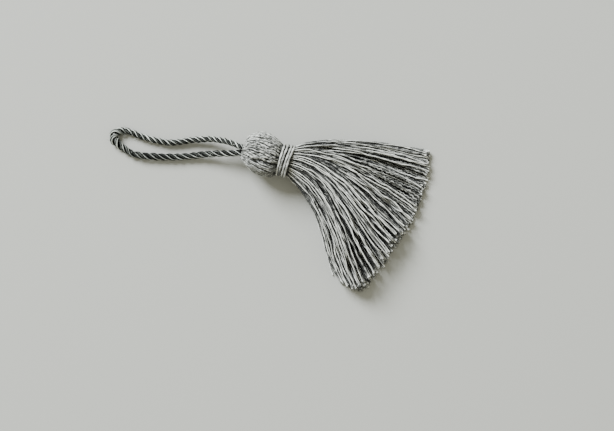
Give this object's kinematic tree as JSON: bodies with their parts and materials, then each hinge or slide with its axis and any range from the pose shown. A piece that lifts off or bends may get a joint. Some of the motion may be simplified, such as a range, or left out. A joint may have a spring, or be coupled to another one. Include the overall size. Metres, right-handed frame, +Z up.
{
  "type": "tassel",
  "caption": "Small hanging tassel lying on its side: twisted cord loop, plump yarn head, yarn-bound neck and a cut yarn skirt fanned out to one side.",
  "frame": {"origin": "on the surface that the tassel lies on, at the small flat under the widest part of the head", "axes": "+X along the head's axis from the cord loop to the skirt, +Z up from the surface"},
  "size_m": [0.1128, 0.0532, 0.0151],
  "materials": {
    "yarn": "silver grey two-ply yarn with a soft matt surface",
    "cord": "dark grey three-strand twisted cord, matt"
  },
  "bodies": {
    "root": {"yarn_bundle": "yarn", "neck_binding": "yarn", "hanging_loop": "cord"}
  },
  "joints": []
}
